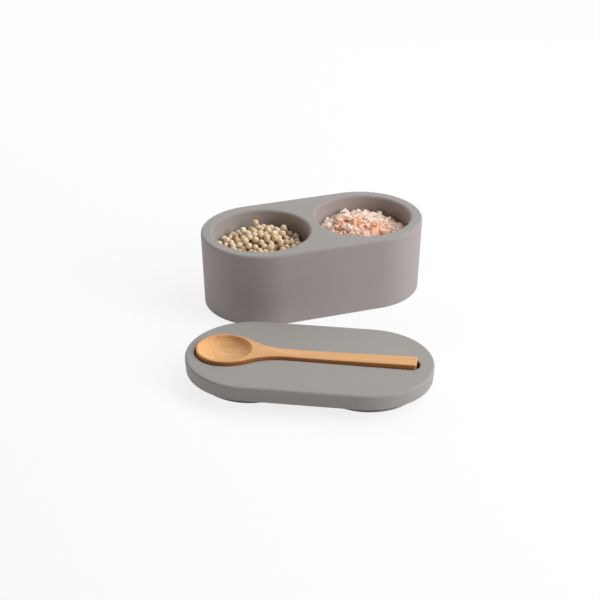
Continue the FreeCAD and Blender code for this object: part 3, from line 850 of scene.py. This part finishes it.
@dataclass
class PepperHeap(Heap):
    """White peppercorns: near-round grains, each with a dimple where its stalk was.

    Crown grains are laid on the heap last, each as place east and north of the middle, and radius.
    """

    node: str = "peppercorns"
    label: str = "pepper"
    slot: Slot = Slot.PEPPER
    cover: float = 0.0060
    seed: int = 7
    drops: int = 3200
    proud_range: Span = (0.7, 1.7)
    crown: tuple[Triple, ...] = (
        (0.0037, 0.0257, 0.0024),
        (0.0214, 0.0139, 0.0024),
        (-0.0076, 0.0204, 0.0024),
    )
    finish: PepperSkin = PepperSkin("white_pepper")
    grain_radius: float = 0.00236
    radius_spread: float = 0.00020
    radius_limits: Span = (0.0019, 0.0029)
    tint_mean: float = 0.72
    tint_spread: float = 0.20
    # Painted shade: tint taken off for each radius a grain lies below the heap's surface.
    painted_depth_shade: float = 0.55
    painted_shade_depth_limit: float = 1.5
    dimple_share: float = 0.24
    dimple_range: Span = (0.3, 1.0)
    oval_share: float = 0.06
    sides: int = 8
    ring_angles: tuple[float, ...] = (0.27, 0.62, 1.15, 1.75, 2.40)

    def bed(self) -> Surface:
        """The bed, dark all over in the dimple's brown: painted shade in the gaps between grains.
        """
        bed = super().bed()
        # Full dimple brown on the bed: painted shade between the grains.
        bed.values["dimple"] = np.ones(len(bed.points))
        return bed

    def crowned(self, settled: Array) -> Array:
        """Lay the crown grains on a settled heap, each where it comes down.

        Args:
            settled: Balls of the heap, as place, height and radius.

        Returns:
            The same balls with the crown grains after them.
        """
        for east, north, radius in self.crown:
            height = self.resting(np.array(((east, north),)), radius, settled)[0]
            settled = np.vstack((settled, (east, north, height, radius)))
        return settled

    def grains(self) -> Surface:
        """One dimpled ball for each settled grain, with its own turn, ovalness and tint.

        Grains that lie deeper are painted darker: painted shade from the grains above them.

        Returns:
            All the grains in one surface.
        """
        rng = self.rng
        radii = rng.normal(self.grain_radius, self.radius_spread, self.drops)
        radii = np.clip(radii, *self.radius_limits)
        settled = self.crowned(self.settle(radii, self.first()))
        count = len(settled)
        shape = ball(np.array(self.ring_angles), self.sides)
        unit = shape.points.copy()
        unit[0, 2] -= self.dimple_share
        swell = 1.0 + rng.uniform(-self.oval_share, self.oval_share, (count, 1, 3))
        turned = np.einsum("nij,npj->npi", random_turns(count, rng), unit * swell)
        centres = settled[:, :3] + np.array((*self.middle, 0.0))
        grains = shape.copies(centres[:, None, :] + settled[:, 3, None, None] * turned)
        dimple = np.zeros(len(unit))
        dimple[0] = 1.0
        depth = (self.surface(settled[:, :2]) - settled[:, 2]) / settled[:, 3]
        tint = rng.normal(self.tint_mean, self.tint_spread, count)
        # Deeper grains are painted darker: painted shade from the grains above them.
        tint = tint - self.painted_depth_shade * np.clip(depth, 0.0, self.painted_shade_depth_limit)
        grains.values = {
            "tint": np.repeat(np.clip(tint, 0.0, 1.0), len(unit)),
            "dimple": np.outer(rng.uniform(*self.dimple_range, count), dimple).ravel(),
        }
        LOG.info("pepper has %d grains", count)
        return grains


@dataclass
class SaltHeap(Heap):
    """Coarse pink salt: angular lumps and flakes of mixed size.

    Patches of redder or paler salt lie in it, each as place east and north of the middle, reach and
    strength.
    """

    node: str = "pink_salt"
    label: str = "salt"
    slot: Slot = Slot.SALT
    cover: float = 0.0036
    seed: int = 11
    drops: int = 3000
    finish: SaltCrystal = SaltCrystal("salt_crystals")
    shading: Shading = Shading.FLAT
    proud_range: Span = (0.45, 1.0)
    placed: tuple[tuple[float, float, float, float, float], ...] = (
        (-0.0020, 0.0245, 0.0036, 0.70, 0.15),
        (-0.0110, 0.0225, 0.0032, 0.55, 0.25),
        (0.0069, 0.0189, 0.0030, 0.50, 0.18),
        (0.0140, 0.0183, 0.0030, 0.55, 0.15),
        (0.0182, 0.0130, 0.0030, 0.55, 0.15),
        (0.0050, -0.0100, 0.0050, 0.60, 0.62),
        (0.0130, -0.0090, 0.0040, 0.60, 0.55),
        (-0.0045, 0.0100, 0.0040, 0.60, 0.55),
    )
    patches: tuple[tuple[float, float, float, float], ...] = (
        (0.0060, -0.0105, 0.0090, 0.56),
        (-0.0045, 0.0100, 0.0070, 0.48),
        (0.0142, -0.0005, 0.0080, 0.36),
        (0.0234, 0.0117, 0.0070, -0.06),
        (-0.0020, 0.0240, 0.0080, -0.06),
        (-0.0060, -0.0200, 0.0140, 0.18),
    )
    radius_range: Span = (0.0013, 0.0030)
    radius_beta: Span = (1.2, 1.8)
    crumb_range: Span = (0.0007, 0.0013)
    crumbs: int = 700
    tint_beta: Span = (1.3, 3.3)
    overlap: float = 1.50
    tilt: float = 0.18
    roughness: float = 0.08
    cuts: int = 9
    cut_range: Span = (0.6, 1.0)
    least_facing: float = 0.05
    farthest: float = 1.2
    flat_least: Triple = (1.0, 0.8, 0.5)
    flat_most: Triple = (1.35, 1.1, 0.9)
    sides: int = 6
    ring_angles: tuple[float, ...] = (0.60, 1.30, 1.95, 2.60)
    jitter: float = 0.20

    def patch_tint(self, spots: Array) -> Array:
        """How much redder or paler the patches make the salt at places.

        Each patch adds its strength times exp(-(distance / reach)^2).

        Args:
            spots: Places in plan from the middle of the well.

        Returns:
            One addition to the tint for each place.
        """
        patches = np.array(self.patches)
        apart = np.linalg.norm(spots[:, None, :] - patches[:, :2], axis=-1) / patches[:, 2]
        return (patches[:, 3] * np.exp(-apart ** 2)).sum(axis=1)

    def lumps(self, count: int, shape: Surface) -> Array:
        """Unit lumps, each cut by flat planes.

        In a direction v a lump reaches to the nearest of its planes, which is the least of
        distance / (normal . v) over the planes that face v. Each lump has its own directions, a
        little off those of a ball, is broken a little rough, and is then flattened.

        Args:
            count: How many.
            shape: Ball that gives the directions.

        Returns:
            Points of each lump about its middle.
        """
        rng = self.rng
        aims = shape.points + rng.normal(0.0, self.jitter, (count, *shape.points.shape))
        aims /= np.linalg.norm(aims, axis=-1, keepdims=True)
        normals = rng.normal(size=(count, self.cuts, 3))
        normals /= np.linalg.norm(normals, axis=-1, keepdims=True)
        distances = rng.uniform(*self.cut_range, (count, self.cuts, 1))
        facing = np.einsum("nki,npi->nkp", normals, aims)
        least = self.least_facing
        reach = np.where(facing > least, distances / np.maximum(facing, least), np.inf).min(axis=1)
        rough = 1.0 + rng.normal(0.0, self.roughness, reach.shape)
        reach = np.minimum(reach, self.farthest) * rough
        flat = rng.uniform(self.flat_least, self.flat_most, (count, 3))
        return reach[..., None] * aims * flat[:, None, :]

    def grains(self) -> Surface:
        """One cut lump for each settled ball, with its own turn and tint.

        A few large blocks lie in the top of the heap before the rest settles round them, and crumbs
        come last into the gaps. What would pass through the well's wall is pressed flat against it.

        Returns:
            All the lumps in one surface.
        """
        rng = self.rng
        least, most = self.radius_range
        radii = least + (most - least) * rng.beta(*self.radius_beta, self.drops)
        settled = self.settle(radii, self.first())
        settled = self.settle(rng.uniform(*self.crumb_range, self.crumbs), settled)
        count = len(settled)
        shape = ball(np.array(self.ring_angles), self.sides)
        turns = random_turns(count, rng, self.tilt)
        turned = np.einsum("nij,npj->npi", turns, self.lumps(count, shape))
        points = settled[:, None, :3] + self.overlap * settled[:, 3, None, None] * turned
        outside = np.linalg.norm(points[..., :2], axis=-1, keepdims=True) / self.radius
        points[..., :2] = points[..., :2] / np.maximum(outside, 1.0) + self.middle
        tint = rng.beta(*self.tint_beta, count) + self.patch_tint(settled[:, :2])
        tint[: len(self.placed)] = [grain[-1] for grain in self.placed]
        grains = shape.copies(points)
        grains.values = {"tint": np.repeat(tint, len(shape.points))}
        LOG.info("salt has %d lumps", count)
        return grains


@dataclass
class CastPiece:
    """A cast piece that keeps its solid and gets the mineral's finish."""

    node: str
    finish: CastMineral

    def build(self) -> list[bpy.types.Object]:
        """Dress the solid.

        Returns:
            The dressed piece.
        """
        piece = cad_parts[self.node]
        piece.data.materials.clear()
        piece.data.materials.append(self.finish.material())
        return [piece]


@dataclass
class CarvedSpoon:
    """The spoon, which keeps its solid and gets wood with grain along its handle."""

    node: str = "spoon"

    def build(self) -> list[bpy.types.Object]:
        """Dress the solid, with the grain starting at the spoon's tip.

        The spoon's long axis is the direction in plan in which its points spread most, taken
        towards +X, where the handle ends.

        Returns:
            The dressed piece.
        """
        points = node_points(self.node)
        plan = points[:, :2] - points[:, :2].mean(axis=0)
        axis = np.linalg.svd(plan, full_matrices=False)[2][0]
        axis = axis if axis[0] > 0.0 else -axis
        tip = points[(plan @ axis).argmin()]
        turn = math.atan2(axis[1], axis[0])
        finish = CarvedWood("spoon_wood", (tip[0], tip[1], points[:, 2].min()), turn)
        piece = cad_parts[self.node]
        piece.data.materials.clear()
        piece.data.materials.append(finish.material())
        return [piece]


def stand_and_aim(piece: bpy.types.Object, place: Triple, aim: Triple) -> None:
    """Stand a lamp or a camera at a place and turn it towards a point.

    Args:
        piece: The lamp or camera, not yet in the scene.
        place: Where it stands.
        aim: What it looks at.
    """
    piece.location = place
    sight = Vector(aim) - Vector(place)
    piece.rotation_euler = sight.to_track_quat("-Z", "Y").to_euler()
    bpy.context.scene.collection.objects.link(piece)


@dataclass(frozen=True)
class Softbox:
    """A broad white lamp aimed at a point between the box and the lid."""

    name: str
    place: Triple
    width: float
    height: float
    power: float
    aim: Triple = (0.0, -0.05, 0.03)

    def build(self) -> bpy.types.Object:
        """Hang the lamp.

        Returns:
            The lamp.
        """
        light = bpy.data.lights.new(self.name, "AREA")
        light.shape = "RECTANGLE"
        light.size, light.size_y = self.width, self.height
        light.energy = self.power
        lamp = bpy.data.objects.new(self.name, light)
        stand_and_aim(lamp, self.place, self.aim)
        return lamp


@dataclass
class Studio:
    """Pale floor, soft lamps, even surroundings and the camera."""

    floor_reach: float = 6.0
    floor_bounce: Colour = (0.90, 0.90, 0.90)
    floor_colour: Colour = (0.19, 0.19, 0.19)
    floor_lift: float = 0.825
    surround: float = 0.06
    backdrop: float = 0.98
    lamps: tuple[Softbox, ...] = (
        Softbox("key_softbox", (1.05, -0.77, 1.33), 1.1, 1.1, 7.8),
        Softbox("top_softbox", (0.80, 0.00, 1.30), 1.0, 1.0, 8.8),
        Softbox("side_softbox", (0.80, -0.80, 0.50), 0.6, 0.6, 6.8),
        Softbox("back_softbox", (0.00, 1.00, 0.90), 1.0, 0.8, 5.6),
        Softbox("low_softbox", (-1.20, 0.25, 0.12), 0.5, 0.2, 2.8),
    )
    camera_place: Triple = (-0.3241, -0.8968, 0.4947)
    camera_aim: Triple = (-0.01374, -0.01146, 0.0)
    camera_lens: float = 86.79
    camera_film: float = 36.0
    camera_span: Span = (0.01, 24.0)

    def seen(self, graph: Graph) -> Wire:
        """1 for light that comes to the eye straight, mirrored or through glass, else 0."""
        node = graph.node("ShaderNodeLightPath").socket.node
        names = ("Is Camera Ray", "Is Glossy Ray", "Is Transmission Ray")
        straight, mirrored, through = (Wire(graph, node.outputs[name]) for name in names)
        return straight.math("MAXIMUM", straight.math("MAXIMUM", straight, mirrored), through)

    def floor(self) -> bpy.types.Object:
        """A square sheet at height 0, which looks white and keeps the object's shadow.

        It throws back as much light as white paper, and part of the white the eye sees is a plain
        lift, so that the shadow on it stays faint.

        Returns:
            The floor.
        """
        corners = np.array(((-1.0, -1.0, 0.0), (1.0, -1.0, 0.0), (1.0, 1.0, 0.0), (-1.0, 1.0, 0.0)))
        face = np.array(((0, 1, 2, 3),))
        sheet = Surface(self.floor_reach * corners, face, np.empty((0, 3), dtype=int))
        floor = sheet.to_object("floor", Shading.FLAT)
        material, graph = new_graph("floor_paper")
        seen = self.seen(graph)
        colour = graph.mixed(seen, self.floor_bounce, self.floor_colour)
        paper = graph.node("ShaderNodeBsdfDiffuse", None, {"Color": colour})
        lift = graph.node("ShaderNodeEmission", None, {"Strength": self.floor_lift * seen})
        both = graph.node("ShaderNodeAddShader", None, {0: paper, 1: lift})
        graph.node("ShaderNodeOutputMaterial", None, {"Surface": both})
        floor.data.materials.append(material)
        return floor

    def surroundings(self) -> None:
        """Even light from all round, seen as a white backdrop."""
        world = bpy.data.worlds.new("studio")
        world.use_nodes = True
        bpy.context.scene.world = world
        graph = Graph(world.node_tree)
        strength = self.surround + (self.backdrop - self.surround) * self.seen(graph)
        inputs = {"Color": (1.0, 1.0, 1.0), "Strength": strength}
        light = graph.node("ShaderNodeBackground", None, inputs)
        graph.node("ShaderNodeOutputWorld", None, {"Surface": light})

    def camera(self) -> None:
        """Stand the camera where the photograph was taken from."""
        lens = bpy.data.cameras.new("camera")
        lens.lens, lens.sensor_width = self.camera_lens, self.camera_film
        lens.clip_start, lens.clip_end = self.camera_span
        camera = bpy.data.objects.new("camera", lens)
        stand_and_aim(camera, self.camera_place, self.camera_aim)
        bpy.context.scene.camera = camera

    def build(self) -> list[bpy.types.Object]:
        """Set up the studio.

        Returns:
            The floor and the lamps.
        """
        bpy.context.scene.view_settings.view_transform = "Standard"
        self.surroundings()
        self.camera()
        return [self.floor(), *(lamp.build() for lamp in self.lamps)]


def main() -> None:
    """Build every part of the scene in order and report its pieces."""
    logging.basicConfig(level=logging.INFO, format="%(name)s %(message)s")
    parts = (
        CastPiece("box", CastMineral("cast_mineral_box")),
        # The lid's upright faces get a fainter painted warm light than the box's.
        CastPiece("lid", CastMineral("cast_mineral_lid", painted_warm_side_colour=(0.385, 0.362, 0.348))),
        CarvedSpoon(),
        PepperHeap(),
        SaltHeap(),
        Studio(),
    )
    for part in parts:
        for piece in part.build():
            faces = len(piece.data.polygons) if piece.type == "MESH" else 0
            LOG.info("%s built %s with %d faces", type(part).__name__, piece.name, faces)


if __name__ == "__main__":
    main()
